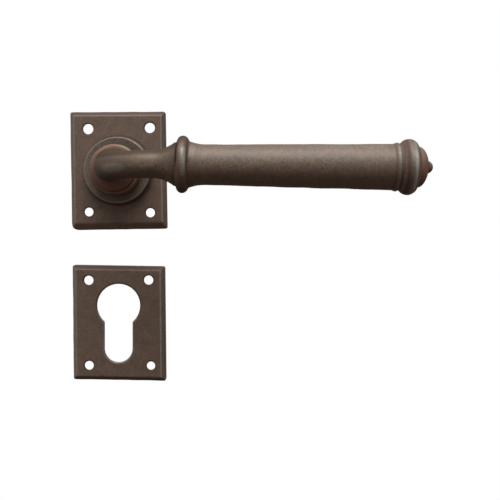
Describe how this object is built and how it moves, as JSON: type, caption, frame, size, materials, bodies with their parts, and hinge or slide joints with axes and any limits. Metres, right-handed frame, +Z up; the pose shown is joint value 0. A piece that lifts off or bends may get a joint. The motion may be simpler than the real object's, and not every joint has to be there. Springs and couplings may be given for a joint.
{
  "type": "door lever handle",
  "caption": "Cast lever handle with beaded round grip on a bevelled square rose, sprung to return, with a matching euro keyhole escutcheon.",
  "frame": {"origin": "where the spindle's axis meets the door's face, the plane of the rose's back", "axes": "+X along the lever's grip, +Y along the spindle into the door, +Z up"},
  "size_m": [0.1432, 0.1104, 0.1151],
  "materials": {
    "casting": "rust-brown patina, worn grey along high edges, matt to satin",
    "bronze": "machined, dull",
    "pressed_steel": "zinc plated",
    "steel": "bright drawn",
    "spring_steel": "oil blackened",
    "nylon": "natural, matt"
  },
  "bodies": {
    "plates": {"rose_plate": "casting", "key_escutcheon": "casting", "collar_bush": "bronze", "rear_bush": "bronze", "spring_housing": "pressed_steel", "cover_screw_1": "pressed_steel", "cover_screw_2": "pressed_steel", "cover_screw_3": "pressed_steel", "cover_screw_4": "pressed_steel", "rest_stop_pin": "steel", "travel_stop_pin": "steel", "spring_seat": "nylon", "thrust_washer": "steel"},
    "lever_arm": {"lever": "casting", "spindle": "steel", "grub_screw": "spring_steel", "stop_cam": "steel", "wave_washer": "spring_steel", "retaining_ring": "spring_steel", "return_spring": "spring_steel"}
  },
  "joints": [
    {"name": "lever_turn", "type": "hinge", "parent": "plates", "child": "lever_arm", "pos_m": [0, 0, 0], "axis": [0, 1, 0], "range_deg": [0, 45], "stiffness_Nm_per_rad": 0.31, "springref_deg": -45.84, "deforming": ["return_spring"]}
  ]
}
